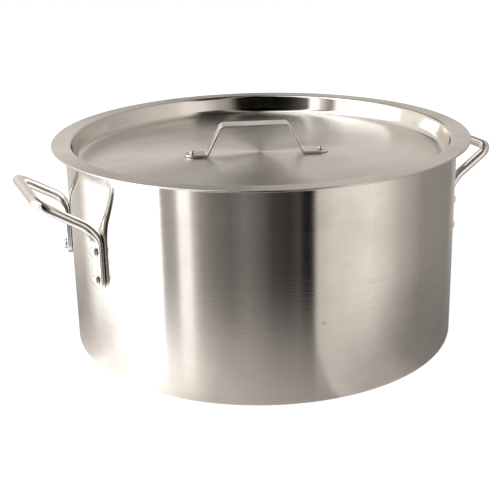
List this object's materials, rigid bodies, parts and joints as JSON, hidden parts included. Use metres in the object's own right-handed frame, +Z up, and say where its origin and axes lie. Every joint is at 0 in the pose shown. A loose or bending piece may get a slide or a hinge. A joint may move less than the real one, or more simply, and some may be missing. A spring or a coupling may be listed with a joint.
{
  "type": "brew kettle",
  "caption": "Straight-walled aluminium brew kettle with a dished lift-off lid, a bent strap lid handle and riveted rod side handles.",
  "frame": {"origin": "centre of the kettle's flat underside", "axes": "+Z up along the kettle's axis, +X through the middle of the right side handle, -Y towards the front"},
  "size_m": [0.563, 0.481, 0.253],
  "materials": {
    "spun_aluminium": "spun and circumferentially brushed, satin",
    "lid_aluminium": "spun with fine concentric turning marks, satin",
    "strap_aluminium": "lengthwise brushed strap",
    "rod_aluminium": "polished rod",
    "rivet_aluminium": "pressed rivet head, semi-bright"
  },
  "bodies": {
    "kettle": {"kettle_body": "spun_aluminium", "side_handle_right": "rod_aluminium", "side_handle_left": "rod_aluminium", "rivet_right_front_upper": "rivet_aluminium", "rivet_right_front_lower": "rivet_aluminium", "rivet_right_back_upper": "rivet_aluminium", "rivet_right_back_lower": "rivet_aluminium", "rivet_left_front_upper": "rivet_aluminium", "rivet_left_front_lower": "rivet_aluminium", "rivet_left_back_upper": "rivet_aluminium", "rivet_left_back_lower": "rivet_aluminium"},
    "lid": {"lid_pan": "lid_aluminium", "lid_handle": "strap_aluminium", "lid_rivet_left": "rivet_aluminium", "lid_rivet_right": "rivet_aluminium"}
  },
  "joints": [
    {"name": "lid_lift", "type": "slide", "parent": "kettle", "child": "lid", "axis": [0, 0, 1], "range_m": [0, 0.3]}
  ]
}
